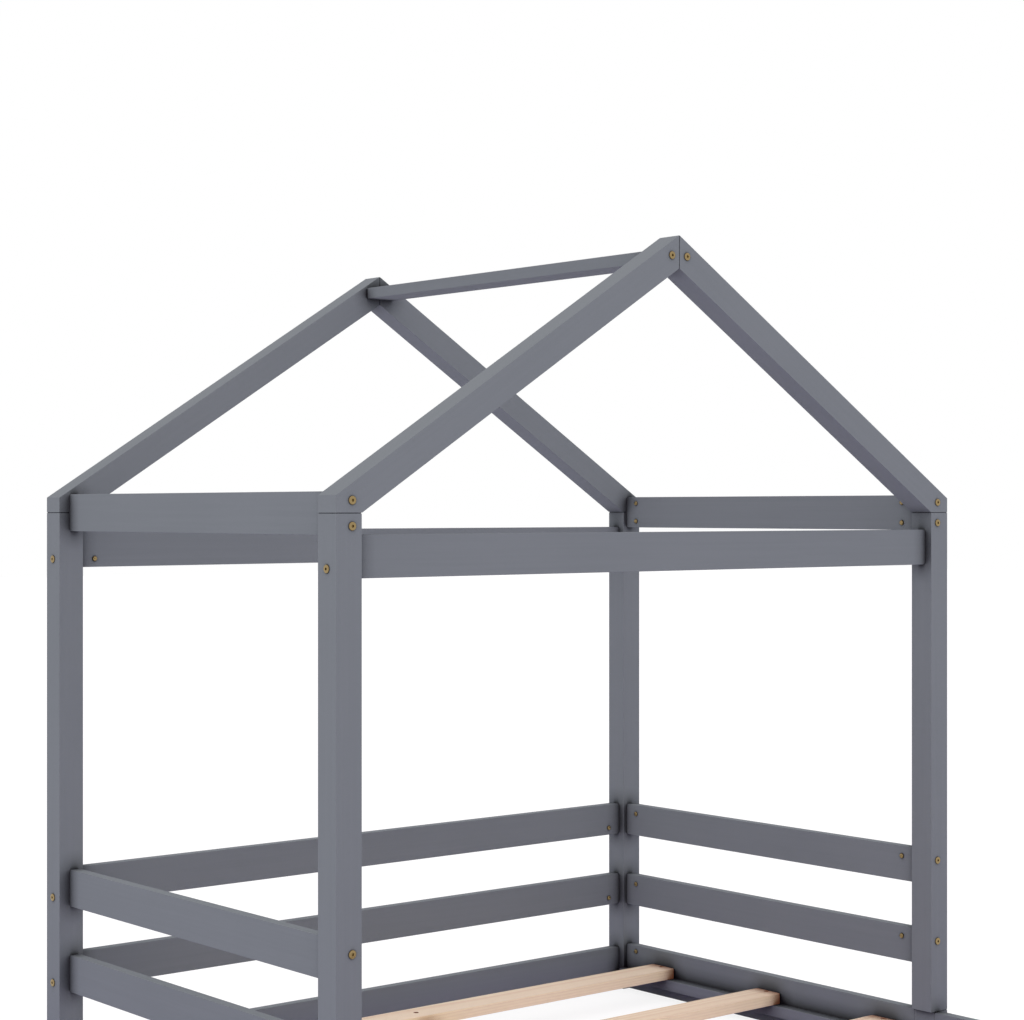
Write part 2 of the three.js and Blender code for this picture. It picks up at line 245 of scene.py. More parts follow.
class StageSizes(bpy.types.PropertyGroup):
    camera_place: FloatVectorProperty(name="Camera place", description="In the bed's frame",
                                      default=(-2.7160, -2.7507, 1.1096), subtype="TRANSLATION")
    camera_turn: angle("Camera turn", "Looking direction, from +Y towards +X", 39.838)
    camera_shift: FloatVectorProperty(name="Camera shift", description="In picture widths",
                                      default=(-0.00049, 0.00027), size=2)
    lens: strength("Lens", "Focal length in millimetres", 76.2)
    floor: length("Floor", "Side of the pale floor", 60.0)
    floor_colour: colour("Floor colour", "Open floor, as it lights the bed", 0.824, 0.814, 0.885)
    # painted shadow: the floor under the bed is darker and more purple than the open floor
    floor_near: colour("Floor near", "Floor under the bed, as it lights the bed", 0.59, 0.5, 0.83)
    floor_reach: length("Floor reach", "From the bed's outline out to the open floor", 0.6)
    floor_seen: colour("Floor seen", "As seen, where it takes the bed's shadow", 0.2, 0.2, 0.2)
    floor_white: share("Floor white", "What the camera sees on top of the floor's own light", 0.85)
    sky: strength("Sky", "Light from straight above", 1.25)
    horizon: strength("Horizon", "Light from the horizon", 0.8)
    top_light: strength("Top light", "Soft lamp overhead", 0.33)
    top_tint: colour("Top tint", "That lamp's colour, which evens out the floor's", 1, 0.33, 0.67)
    side_light: strength("Side light", "Soft lamp on the left", 0.05)
    side_tint: colour("Side tint", "That lamp's cool colour", 0.75, 0.85, 1)
    softness: angle("Softness", "How wide the lamps spread", 120)


# Surfaces


def loft(rings):
    """Quads between each ring of points and the next. rings has the shape (rings, points, 3)."""
    count, around = rings.shape[:2]
    index = np.arange(count * around).reshape(count, around)
    low, high = index[:-1], index[1:]
    quads = np.stack([low, np.roll(low, -1, 1), np.roll(high, -1, 1), high], -1)
    return rings.reshape(-1, 3), quads.reshape(-1, 4).tolist(), index


def strips(end):
    """Quads that close a ring of points whose second half runs back along its first half."""
    there, back = np.split(end, 2)
    back = back[::-1]
    return np.stack([there[:-1], there[1:], back[1:], back[:-1]], -1).tolist()


def frame_of(direction):
    """Two unit vectors that stand square on a direction and on each other."""
    helper = Z if abs(direction[2]) < 0.5 else X
    first = np.cross(direction, helper)
    first = first / np.linalg.norm(first)
    return first, np.cross(direction, first)


def slab(low, high, thin, corner, arris, steps, setback=(0, 0), core=None):
    """A board between two corners of its box.

    Its outline is a rectangle with round corners: a corner's centre plus its radius times
    (cos a, sin a), where the radius is corner - inset and never below 0. Round the arris the inset
    is arris (1 - sin t) and the height falls short of the face by arris (1 - cos t), with t from 0
    to a quarter turn. Either face may be set back. core = (inset, reach) adds a smaller block that
    stands on the upper face and ends that far past the box.
    """
    middle, half = (low + high) / 2, (high - low) / 2
    along, up = (thin + 1) % 3, (thin + 2) % 3
    quarter = np.linspace(0, math.pi / 2, steps + 1)
    turn = (np.arange(4)[:, None] * math.pi / 2 + quarter).ravel()
    signs = np.repeat([[1, 1], [-1, 1], [-1, -1], [1, -1]], steps + 1, axis=0)
    inset = arris * (1 - np.sin(quarter))
    rise = half[thin] - arris * (1 - np.cos(quarter))
    insets = np.concatenate([inset, inset[::-1]])
    heights = np.concatenate([setback[0] - rise, rise[::-1] - setback[1]])
    if core:
        insets = np.append(insets, [core[0], core[0]])
        heights = np.append(heights, [heights[-1], half[thin] + core[1]])
    radii = np.maximum(corner - insets, 0)
    centres = np.array([half[along], half[up]]) - (insets + radii)[:, None]
    ring = np.stack([np.cos(turn), np.sin(turn)], -1)
    plane = signs[None] * centres[:, None] + radii[:, None, None] * ring[None]
    rings = np.zeros(plane.shape[:2] + (3,))
    rings[..., along], rings[..., up] = plane[..., 0], plane[..., 1]
    rings[..., thin] = heights[:, None]
    points, faces, index = loft(rings + middle)
    return points, faces + [index[0][::-1].tolist(), index[-1].tolist()]


def rafter(side, low, high, foot, sizes):
    """A rafter carried along the roof's slope.

    Its section is a square with round edges, given as rows of equal height p over the lower face
    with half width w. A row at p starts on the mitre plane, x = seam / 2, and ends on the post's
    outer plane or just over the post's top, whichever it meets first:
    s = min((x - p sin a) / cos a, (drop + p cos a) / sin a), with a the roof's pitch. Both joints
    are set back for their dark line, and a smaller core closes the mitre.
    """
    pitch, edge, ease, groove = sizes.roof_pitch, sizes.post_edge, sizes.post_end, sizes.groove
    sin, cos = math.sin(pitch), math.cos(pitch)
    inner, outer = foot
    half_width = (high[1] - low[1]) / 2
    floor = low[2] + groove
    crest = low[2] + inner * math.tan(pitch)
    depth = (high[2] - crest) * cos
    quarter = np.linspace(0, math.pi / 2, sizes.steps + 1)
    heel = (outer - inner) * sin + groove * cos

    def ring(at_mitre, inward, shrink):
        radius = max(edge - shrink, 0)
        lower_rows = shrink + radius * (1 - np.cos(quarter))
        p = np.concatenate([lower_rows, [heel], depth - lower_rows[::-1]])
        w = half_width - shrink - radius * (1 - np.sin(quarter))
        w = np.concatenate([w, [half_width - shrink], w[::-1]])
        if at_mitre:
            s = (sizes.seam / 2 + inward - p * sin) / cos
        else:
            to_face = (outer - inward - p * sin) / cos
            to_top = (crest - floor - inward + p * cos) / sin
            s = np.minimum(to_face, to_top)
        x = SIDES[side] * (s * cos + p * sin)
        z = crest - s * sin + p * cos
        there = np.stack([x, w, z], -1)
        return np.concatenate([there, there[::-1] * [1, -1, 1]])

    rings = np.stack([
        ring(True, (sizes.contact - sizes.seam) / 2, sizes.groove_depth),
        ring(True, groove, sizes.groove_depth),
        ring(True, groove, ease),
        ring(True, groove + ease, 0),
        ring(False, ease, 0),
        ring(False, 0, ease),
    ])
    points, faces, index = loft(rings + [0, (low[1] + high[1]) / 2, 0])
    return points, faces + strips(index[0]) + strips(index[-1])


def hexagon(turn, flat):
    """Distance from the middle of a hexagon to its side: flat / cos(a), a within 30 degrees."""
    sixth = math.pi / 3
    return flat / np.cos((turn + sixth / 2) % sixth - sixth / 2)


def cross(turn, arm, wide):
    """Distance from a cross's middle to its edge: the lesser of arm / cos a and wide / |sin a|."""
    quarter = math.pi / 2
    from_arm = (turn + quarter / 2) % quarter - quarter / 2
    never_0 = np.maximum(np.abs(np.sin(from_arm)), 1e-6)
    return np.minimum(arm / np.cos(from_arm), wide / never_0)


def turned(start, direction, radii, heights, around):
    """A profile turned round an axis: start + height times the axis + radius (cos a, sin a).

    radii has one row for each height. A row is one radius, or a radius for each angle, which makes
    that ring a socket's outline. A radius of 0 closes an end.
    """
    first, second = frame_of(direction)
    turn = np.arange(around) * 2 * math.pi / around
    circle = np.cos(turn)[:, None] * first + np.sin(turn)[:, None] * second
    radii = np.stack([np.broadcast_to(radius, around) for radius in radii])
    heights = np.asarray(heights)[:, None, None]
    points, faces, _ = loft(start + heights * direction + radii[..., None] * circle[None])
    return points, faces


def rod(start, direction, reach, radius, around, ease=0):
    """A closed cylinder, with a chamfer round either end if ease is given."""
    radii, heights = [radius, radius], [ease, reach - ease]
    if ease:
        radii, heights = [radius - ease, *radii, radius - ease], [0, *heights, reach]
    return turned(start, direction, [0, *radii, 0], [0, *heights, reach], around)


def barrel_nut(start, inward, slot_along, sizes):
    """A cylinder with a driver slot across its outer end.

    Its outline is cut into rows across the slot, each with the half width sqrt(r^2 - x^2). The
    outer end is a flat tip with a round: at an angle t its radius is r sin t and it lies
    dome (cos 30 deg - cos t) below the tip, with t from 30 degrees to a quarter turn. The rows
    between the slot's edges lie at least the slot's depth below the tip.
    """
    radius, half_slot, rows, dome_steps = sizes.nut, sizes.nut_slot / 2, 9, 5
    chamfer = radius * 0.1
    side = np.cos(np.linspace(math.pi, math.pi / 2, rows))[:-1] * radius
    too_close = half_slot * 1.3
    side = np.append(side[side < -too_close], -half_slot)
    across = np.concatenate([side, [-half_slot, 0, half_slot], -side[::-1]])
    sunk = np.zeros(len(across))
    sunk[len(side):len(side) + 3] = sizes.slot_depth
    along = slot_along / np.linalg.norm(slot_along)
    other = np.cross(inward, along)

    def ring(scale, depth):
        x = across * scale
        w = np.sqrt(np.maximum((radius * scale) ** 2 - x**2, 0))
        there = x[:, None] * other + w[:, None] * along
        back = (x[:, None] * other - w[:, None] * along)[::-1]
        depths = np.concatenate([depth, depth[::-1]])[:, None]
        return start + np.concatenate([there, back]) + depths * inward

    inner = 1 - chamfer / radius
    end = np.full(len(across), sizes.nut_length)
    turn = np.linspace(math.pi / 6, math.pi / 2, dome_steps)
    drop = sizes.nut_dome * (math.cos(turn[0]) - np.cos(turn))
    rings = np.stack([
        *(ring(math.sin(t), np.maximum(sunk, d)) for t, d in zip(turn, drop)),
        ring(1, end - chamfer),
        ring(inner, end),
    ])
    points, faces, index = loft(rings)
    return points, faces + strips(index[0]) + strips(index[-1])


def bolt(start, direction, sizes, shank_length):
    """A wide flat head with a hex socket, and its shank, turned round one axis.

    The rim is a quarter circle: its radius falls short of the head's by curve (1 - sin t), at a
    height of curve (1 - cos t) under the top. The thread goes in and out once in every pitch.
    """
    turn = np.arange(sizes.around) * 2 * math.pi / sizes.around
    socket = hexagon(turn, sizes.socket)
    top, head, shank, seat = sizes.head_height, sizes.head, sizes.shank, sizes.seat
    rim = np.linspace(0, math.pi / 2, sizes.rim_steps)
    curve = (top - seat) * sizes.rim
    floor = top - sizes.socket_depth
    radii = [0, socket * SOCKET_FLOOR, socket, socket, socket * SOCKET_MOUTH,
             *(head - curve + curve * np.sin(rim)), head, head - HEAD_EASE, shank]
    heights = [floor - DRILL_TIP, floor, floor, top - HEAD_EASE, top,
               *(top - curve + curve * np.cos(rim)), seat + HEAD_EASE, seat, seat]
    steps = np.arange(int(THREAD_LENGTH / THREAD_PITCH) * 2)
    upper = shank_length - THREAD_END - len(steps) * THREAD_PITCH / 2
    radii += [shank, *np.where(steps % 2, shank, shank - THREAD_DEPTH), shank - THREAD_CHAMFER, 0]
    heights += [-upper, *(-upper - steps * THREAD_PITCH / 2), -shank_length, -shank_length]
    return turned(start, -direction, radii, heights, sizes.around)


def screw(start, direction, sizes):
    """A countersunk head with a cross recess, a cone under it, and a plain pointed shank."""
    turn = np.arange(sizes.around) * 2 * math.pi / sizes.around
    recess = cross(turn, sizes.cross_long, sizes.cross_wide)
    head, shank, reach, ease = sizes.head, sizes.shank, sizes.reach, SCREW_EASE
    radii = [0, recess * RECESS_FLOOR, recess, recess * RECESS_MOUTH + ease / 2, head - ease, head,
             shank, shank, 0]
    heights = [sizes.cross_tip, sizes.cross_deep, ease, 0, 0, 2 * ease,
               sizes.cone, reach - sizes.point, reach]
    return turned(start, direction, radii, heights, sizes.around)


def joined(parts):
    """Several surfaces as one list of points and one list of faces."""
    points, faces, count = [], [], 0
    for part_points, part_faces in parts:
        points.append(part_points)
        faces += [[corner + count for corner in face] for face in part_faces]
        count += len(part_points)
    return np.concatenate(points), faces


# Pieces


def new_object(name, surface):
    """A mesh object at the origin, its doubled points merged and its faces pointing outwards."""
    points, faces = surface
    mesh = bpy.data.meshes.new(name)
    mesh.from_pydata(points.tolist(), [], faces)
    work = bmesh.new()
    work.from_mesh(mesh)
    bmesh.ops.remove_doubles(work, verts=work.verts, dist=MERGED)
    bmesh.ops.dissolve_degenerate(work, edges=work.edges, dist=SLIVER)
    bmesh.ops.recalc_face_normals(work, faces=work.faces)
    work.to_mesh(mesh)
    work.free()
    piece = bpy.data.objects.new(name, mesh)
    bpy.context.scene.collection.objects.link(piece)
    return piece


def cut(piece, surfaces):
    """Takes closed surfaces out of a piece, one Boolean for each, and keeps what is left."""
    cutters = [new_object(piece.name + "_cutter", surface) for surface in surfaces]
    for cutter in cutters:
        modifier = piece.modifiers.new("bores", "BOOLEAN")
        modifier.operation = "DIFFERENCE"
        modifier.solver = "EXACT"
        modifier.object = cutter
    bpy.context.view_layer.update()
    depsgraph = bpy.context.evaluated_depsgraph_get()
    whole = piece.data
    piece.data = bpy.data.meshes.new_from_object(piece.evaluated_get(depsgraph))
    piece.data.name = piece.name
    piece.modifiers.clear()
    bpy.data.meshes.remove(whole)
    for cutter in cutters:
        mesh = cutter.data
        bpy.data.objects.remove(cutter)
        bpy.data.meshes.remove(mesh)


def finish_piece(piece, material, replaced=(), flat=False):
    """Shades a piece, gives it its material and ties it to the bed."""
    mesh = piece.data
    mesh.materials.clear()
    mesh.materials.append(material)
    mesh.polygons.foreach_set("use_smooth", np.ones(len(mesh.polygons), bool))
    mesh.set_sharp_from_angle(angle=SHARP)
    if flat:
        even = piece.modifiers.new("even shading", "WEIGHTED_NORMAL")
        even.keep_sharp = True
        even.weight = 100
    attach(piece, BODY)
    if replaced:
        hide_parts(*replaced)


@functools.cache
def box_of(node):
    """A node's lowest and highest corners."""
    low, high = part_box(node)
    return np.array(low), np.array(high)


@functools.cache
def places():
    """The places that connectors share, read from the frame."""
    low, high = box_of("house_post_right")
    head_low, head_high = box_of("head_post_right")
    rail_low, rail_high = box_of("eave_rail_right")
    ridge_low, ridge_high = box_of("ridge_board")
    return {
        "outer_x": high[0],
        "rail_x": (rail_low[0] + rail_high[0]) / 2,
        "ends": {
            "front": (low[1], Y, (low[1] + high[1]) / 2),
            "rear": (head_high[1], -Y, (head_low[1] + head_high[1]) / 2),
        },
        "post_top": high[2],
        "post": high[0] - low[0],
        "board": rail_high[0] - rail_low[0],
        "ridge_board": ridge_high[2] - ridge_low[2],
        "ridge_z": (ridge_low[2] + ridge_high[2]) / 2,
        "foot_face": -head_high[1],
    }


def connectors(sizes):
    """Every connector as (name, start on the post's outer face, direction, way its nut looks)."""
    at = places()
    found = []

    def on_side(name, side, y, node, way):
        start = np.array([SIDES[side] * at["outer_x"], y, box_of(node)[0][2] + sizes.cross_rise])
        found.append((name, start, -SIDES[side] * X, way))

    def on_end(name, side, face, z, way, x=at["rail_x"], nut=None):
        start = np.array([SIDES[side] * x, face, z])
        found.append((name, start, way, -SIDES[side] * X if nut is None else nut))

    for side in SIDES:
        for end, (face, inward, middle) in at["ends"].items():
            for level, sign in (("upper", 1), ("lower", -1)):
                z = at["post_top"] + sign * sizes.eave_spread
                on_end(f"eave_bolt_{end}_{side}_{level}", side, face, z, inward)
                guard = f"{side}_guard_{level}"
                z = box_of(guard)[1][2] - sizes.side_drop
                on_end(f"{guard}_bolt_{end}", side, face, z, inward)
                if end == "rear":
                    guard = f"rear_guard_{level}"
                    on_side(f"{guard}_bolt_{side}", side, middle, guard, inward)
            on_end(f"ridge_bolt_{end}_{side}", side, face, at["ridge_z"], inward,
                   sizes.ridge_spread, Z)
            on_side(f"tie_bolt_{end}_{side}", side, middle, f"{end}_tie_beam", inward)
        z = box_of(f"head_side_rail_{side}")[1][2] - sizes.rail_drop
        on_end(f"head_side_rail_bolt_{side}", side, at["ends"]["rear"][0], z, -Y)
        on_end(f"side_rail_bolt_{side}", side, at["foot_face"], z, Y)
        for rail in ("head_rail", "foot_rail"):
            low, high = box_of(rail)
            on_side(f"{rail}_bolt_{side}", side, (low[1] + high[1]) / 2, rail, Y)
    return found


def nut_seat(start, direction, looks, sizes):
    """The middle of the nut on the board's face, and the length of the bolt's shank."""
    at = places()
    to_nut = at["post"] + sizes.nut_setback + settings("boards").seam
    thickness = at["ridge_board"] if looks[2] else at["board"]
    return start + direction * to_nut + looks * thickness / 2, to_nut + sizes.nut + sizes.past_nut


def bore_list():
    """Every bore as (point on its axis, direction, reach, radius, kind), shanks apart from nuts.

    Each starts a little outside the wood, so that no end of it lies in the wood's own face.
    """
    sizes, screws = settings("connectors"), settings("screws")
    shank_bore = sizes.shank + sizes.shank_room
    nut_bore = sizes.nut + sizes.nut_room
    found = []

    def add_bore(start, way, outside, reach, radius, kind):
        found.append((start - outside * way, way, outside + reach, radius, kind))

    for _, start, direction, looks in connectors(sizes):
        seat, shank = nut_seat(start, direction, looks, sizes)
        add_bore(start, direction, OVERSHOOT, shank + OVERSHOOT, shank_bore, "shank")
        add_bore(seat, -looks, OVERSHOOT, sizes.nut_hole, nut_bore, "nut")
    for side in SIDES:
        start, way, reach, nuts = stud_places(side)
        stud_bore = sizes.stud + sizes.shank_room
        add_bore(start, way, OVERSHOOT / 2, reach + OVERSHOOT / 2, stud_bore, "shank")
        for seat in nuts:
            add_bore(seat, SIDES[side] * X, OVERSHOOT, sizes.nut_hole, nut_bore, "nut")
        foot, reach, _ = pin_place(side)
        add_bore(foot, Z, OVERSHOOT / 2, reach + OVERSHOOT / 2, sizes.pin_bore, "shank")
    for start, way in slat_screw_places() + ledge_screw_places():
        add_bore(start, way, OVERSHOOT, screws.sink + screws.head_room, screws.hole, "nut")
        add_bore(start, way, 0, screws.reach + screws.past_tip, screws.shank + screws.room, "shank")
    return found


def stud_places(side):
    """The stud through a mid block, and where its two nuts sit on the rails' inner faces."""
    low, high = box_of(f"rail_stud_{side}")
    sizes = settings("connectors")
    rail_low, rail_high = box_of(f"head_side_rail_{side}")
    x, z = (rail_low[0] + rail_high[0]) / 2, (low[2] + high[2]) / 2
    face = rail_low[0] if SIDES[side] > 0 else rail_high[0]
    in_end = sizes.nut + sizes.past_nut
    nuts = [np.array([face, y, z]) for y in (low[1] + in_end, high[1] - in_end)]
    return np.array([x, low[1], z]), Y, high[1] - low[1], nuts


def pin_place(side):
    """The foot, the length and the radius of the pin up into a house post."""
    low, high = box_of(f"post_pin_{side}")
    return np.append((low + high)[:2] / 2, low[2]), high[2] - low[2], (high[0] - low[0]) / 2


def slat_screw_places():
    """On every slat: a screw near either end and one over the centre beam, pointing down."""
    found = []
    for node in SLATS:
        low, high = box_of(node)
        x = high[0] - settings("screws").from_end
        found += [(np.array([at, (low[1] + high[1]) / 2, high[2]]), -Z) for at in (-x, 0, x)]
    return found


def ledge_screw_places():
    """Under every slat a screw in each ledge's inner face, clear of the slat's own screws."""
    found = []
    for side in SIDES:
        low, high = box_of(f"slat_ledge_{side}")
        face = low[0] if SIDES[side] > 0 else high[0]
        for node in SLATS:
            y = (box_of(node)[0][1] + box_of(node)[1][1]) / 2 + settings("screws").ledge_aside
            found.append((np.array([face, y, (low[2] + high[2]) / 2]), SIDES[side] * X))
    return found


def make_wood(node, low, high, surface, slot, grain):
    """A wooden piece, with every bore cut out whose box meets the piece's own."""
    piece = new_object(node + "_wood", surface)
    points = {"shank": 20, "nut": 32}
    cutters = {kind: [] for kind in points}
    for start, direction, reach, radius, kind in bore_list():
        ends = np.stack([start, start + reach * direction])
        side = radius * (1 - np.abs(direction))
        if np.all(ends.min(0) - side < high) and np.all(ends.max(0) + side > low):
            cutters[kind].append(rod(start, direction, reach, radius, points[kind]))
    cutters = [joined(found) for found in cutters.values() if found]
    if cutters:
        cut(piece, cutters)
    finish_piece(piece, wood(slot, grain), [node], flat=True)


def fitted(node):
    """A board's box, let out into the seams round it until it all but touches its neighbours."""
    sizes = settings("boards")
    low, high = box_of(node)
    grown = np.zeros((2, 3))
    out = sizes.seam - sizes.contact
    if node not in SLATS:
        grown[:, np.argmax(high - low)] = out
    if node in [*LEDGES, "centre_beam"]:
        grown[1, 2] = out
    if node in LEDGES:
        grown[LEDGES.index(node), 0] = out
    return low - grown[0], high + grown[1]


def make_post(node):
    """A post or block. Where another stands on it, a core in the joint leaves a dark line."""
    sizes = settings("boards")
    low, high = box_of(node)
    set_low = sizes.groove if node.startswith("house_post") else 0
    set_high, core = 0, None
    if not node.startswith("foot_post"):
        set_high = sizes.groove
        core = sizes.groove_depth, sizes.seam + sizes.groove - sizes.contact
    surface = slab(low, high, 2, sizes.post_edge, sizes.post_end, sizes.steps,
                   (set_low, set_high), core)
    make_wood(node, low, high, surface, PAINTED, "z")


def make_board(node):
    """A board with round corners, painted or of bare pine."""
    sizes = settings("boards")
    low, high = fitted(node)
    surface = slab(low, high, int(np.argmin(high - low)), sizes.corner, sizes.arris, sizes.steps)
    slot = PINE if node in PINE_BOARDS else PAINTED
    make_wood(node, low, high, surface, slot, "xyz"[np.argmax(high - low)])


def make_rafter(node):
    """A rafter between the mitre and the outer face of its post."""
    side = node.rsplit("_", 1)[1]
    low, high = box_of(node)
    post_low, post_high = box_of("house_post_right")
    surface = rafter(side, low, high, (post_low[0], post_high[0]), settings("boards"))
    make_wood(node, low, high, surface, PAINTED, "rafter_" + side)


# Materials


class Value:
    """A socket to write into formulas: each sign between it and another value adds a Math node."""

    def __init__(self, socket):
        self.socket = socket

    def maths(self, operation, *others):
        operands = dict(enumerate((self, *others)))
        return add(self.socket.id_data, "Math", operands, operation=operation)[0]

    __add__ = functools.partialmethod(maths, "ADD")
    __sub__ = functools.partialmethod(maths, "SUBTRACT")
    __mul__ = functools.partialmethod(maths, "MULTIPLY")
    __truediv__ = functools.partialmethod(maths, "DIVIDE")


class Outputs:
    """A node whose outputs are taken as values."""

    def __init__(self, node):
        self.node = node

    def __getitem__(self, key):
        return Value(self.node.outputs[key])


def fill(node, sockets):
    """Links each input to a value or sets it. A colour's three parts get an alpha of 1."""
    for key, value in sockets.items():
        socket = node.inputs[key]
        if isinstance(value, Value):
            node.id_data.links.new(value.socket, socket)
        else:
            socket.default_value = (*value, 1.0) if socket.type == "RGBA" else value


def add(tree, kind, sockets=None, **options):
    """A new node. Its options come first, because they can change which inputs it has."""
    node = tree.nodes.new("ShaderNode" + kind)
    for key, value in options.items():
        setattr(node, key, value)
    fill(node, sockets or {})
    return Outputs(node)


def noise(tree, place, scale=1.0, detail=2.0, roughness=0.5, distortion=0.0):
    return add(tree, "TexNoise", {
        "Vector": place, "Scale": scale, "Detail": detail, "Roughness": roughness,
        "Distortion": distortion,
    })["Fac"]


def mixed(tree, amount, first, second):
    return add(tree, "Mix", {0: amount, 6: first, 7: second}, data_type="RGBA")[2]


def span(tree, value, low, high, to_low=0.0, to_high=1.0, curve="SMOOTHSTEP"):
    """A value's way from low to high, as a way from to_low to to_high, and held beyond both."""
    return add(tree, "MapRange", {0: value, 1: low, 2: high, 3: to_low, 4: to_high},
               interpolation_type=curve)[0]


def stretched(tree, vector, factors):
    return add(tree, "VectorMath", {0: vector, 1: factors}, operation="MULTIPLY")[0]


def split(tree, value, kind="XYZ"):
    """The three parts of a vector or a colour."""
    parts = add(tree, "Separate" + kind, {0: value})
    return parts[0], parts[1], parts[2]


def bumped(tree, height, strength, distance):
    return add(tree, "Bump", {"Height": height, "Strength": strength, "Distance": distance})[0]


def wood_grain(tree, ins):
    """Fibres that run along X: noise squeezed across the board, and a slow drift of tone."""
    width = ins["Fibre width"]
    size = add(tree, "CombineXYZ", {0: ins["Fibre length"], 1: width, 2: width})[0]
    place = add(tree, "VectorMath", {0: ins["Place"], 1: size}, operation="DIVIDE")[0]
    finer = stretched(tree, place, (4.3, 4.3, 4.3))
    return {
        "Fibres": noise(tree, place, detail=3.0, roughness=0.55, distortion=0.3),
        "Fine fibres": noise(tree, finer, roughness=0.6),
        "Drift": noise(tree, ins["Place"], scale=5.0, detail=1.0),
    }


def pine_figure(tree, ins):
    """Growth rings of a flat-sawn board, and knots.

    The rings are circles round a pith under the board, as wide as Ring width, wandering slowly
    along it. Boards that lie a pitch apart take their pith's place from a hash of their number.
    A knot is a Voronoi cell's middle, kept in a few cells only.
    """
    x, y, z = split(tree, ins["Place"])
    number = (y / ins["Board pitch"]).maths("FLOOR")
    chance = add(tree, "TexWhiteNoise", {"W": number}, noise_dimensions="1D")["Color"]
    pick_along, pick_aside, pick_deep = split(tree, chance, "Color")
    in_board = y - (number + 0.5) * ins["Board pitch"]
    own = add(tree, "CombineXYZ", {0: x + pick_along * 7.0, 1: in_board, 2: z})[0]
    wander = (noise(tree, stretched(tree, own, (1.3, 9.0, 9.0))) - 0.5) * 0.06
    aside = in_board + wander + (pick_aside - 0.5) * 0.09
    deep = z + pick_deep * 0.05
    radius = (aside * aside + deep * deep).maths("SQRT")
    wave = (radius / ins["Ring width"]).maths("FRACT")
    late = span(tree, wave, 0.35, 0.92) * span(tree, wave, 0.93, 1.0, 1.0, 0.0)
    cells = stretched(tree, own, (3.2, 11.0, 2.0))
    cell = add(tree, "TexVoronoi", {"Vector": cells, "Scale": 1.0})
    spot = span(tree, cell["Distance"], 0.03, 0.10, 1.0, 0.0)
    rare = split(tree, cell["Color"], "Color")[0].maths("GREATER_THAN", 0.72)
    return {"Latewood": late, "Knot": spot * rare}


def metal_patina(tree, ins):
    """Plated metal: a clean and a dull colour in soft blotches, and fine scratches as height."""
    blotch = noise(tree, ins["Place"], scale=260.0, detail=3.0, roughness=0.6, distortion=0.5)
    amount = span(tree, blotch, 0.35, 0.72) * ins["Dullness"]
    return {
        "Color": mixed(tree, amount, ins["Clean"], ins["Dull"]),
        "Roughness": amount * 0.3 + 0.27,
        "Height": noise(tree, ins["Place"], scale=2400.0, roughness=0.6),
    }


# Every shader group as its formula, its inputs and its outputs, and the kinds that are no numbers
GROUPS = {
    "Wood grain": (wood_grain, ["Place", "Fibre length", "Fibre width"],
                   ["Fibres", "Fine fibres", "Drift"]),
    "Pine figure": (pine_figure, ["Place", "Board pitch", "Ring width"], ["Latewood", "Knot"]),
    "Metal patina": (metal_patina, ["Place", "Clean", "Dull", "Dullness"],
                     ["Color", "Roughness", "Height"]),
}
KINDS = {"Place": "Vector", "Clean": "Color", "Dull": "Color", "Color": "Color"}


def grouped(tree, name, sockets):
    """A node of a shader group. The group itself is made once."""
    made = bpy.data.node_groups.get(name)
    if not made:
        formula, inputs, outputs = GROUPS[name]
        made = bpy.data.node_groups.new(name, "ShaderNodeTree")
        for in_out, labels in (("INPUT", inputs), ("OUTPUT", outputs)):
            for label in labels:
                kind = "NodeSocket" + KINDS.get(label, "Float")
                made.interface.new_socket(label, in_out=in_out, socket_type=kind)
        ins = Outputs(made.nodes.new("NodeGroupInput"))
        fill(made.nodes.new("NodeGroupOutput"), formula(made, ins))
    return add(tree, "Group", sockets, node_tree=made)


def shaded(tree, tone, deep, reach):
    """Painted shade: a colour that turns to a deeper one where other surfaces lie close, as in
    joints.
    """
    near = add(tree, "AmbientOcclusion", {"Distance": reach}, samples=8)["AO"]
    return mixed(tree, span(tree, near, 0.42, 1.0, curve="LINEAR"), deep, tone)


def new_material(name):
    """A material with an empty tree but for its output and a Principled BSDF."""
    material = bpy.data.materials.new(name)
    material.use_nodes = True
    tree = material.node_tree
    tree.nodes.clear()
    shader = tree.nodes.new("ShaderNodeBsdfPrincipled")
    add(tree, "OutputMaterial", {"Surface": Value(shader.outputs[0])})
    return material, tree, shader


def wood(slot, grain):
    """The painted wood or the pine whose grain runs along one axis or along a rafter."""
    name = f"{slot} along {grain}"
    if name in bpy.data.materials:
        return bpy.data.materials[name]
    pitch = settings("boards").roof_pitch
    quarter = math.pi / 2
    turns = {"x": (0, 0, 0), "y": (0, 0, -quarter), "z": (0, quarter, 0),
             "rafter_left": (0, pitch, 0), "rafter_right": (0, -pitch, 0)}
    material, tree, shader = new_material(name)
    here = add(tree, "TexCoord")
    place = add(tree, "Mapping", {"Vector": here["Object"], "Rotation": turns[grain]})[0]
    dress = dress_pine if slot == PINE else dress_paint
    dress(tree, shader, here, place)
    return material


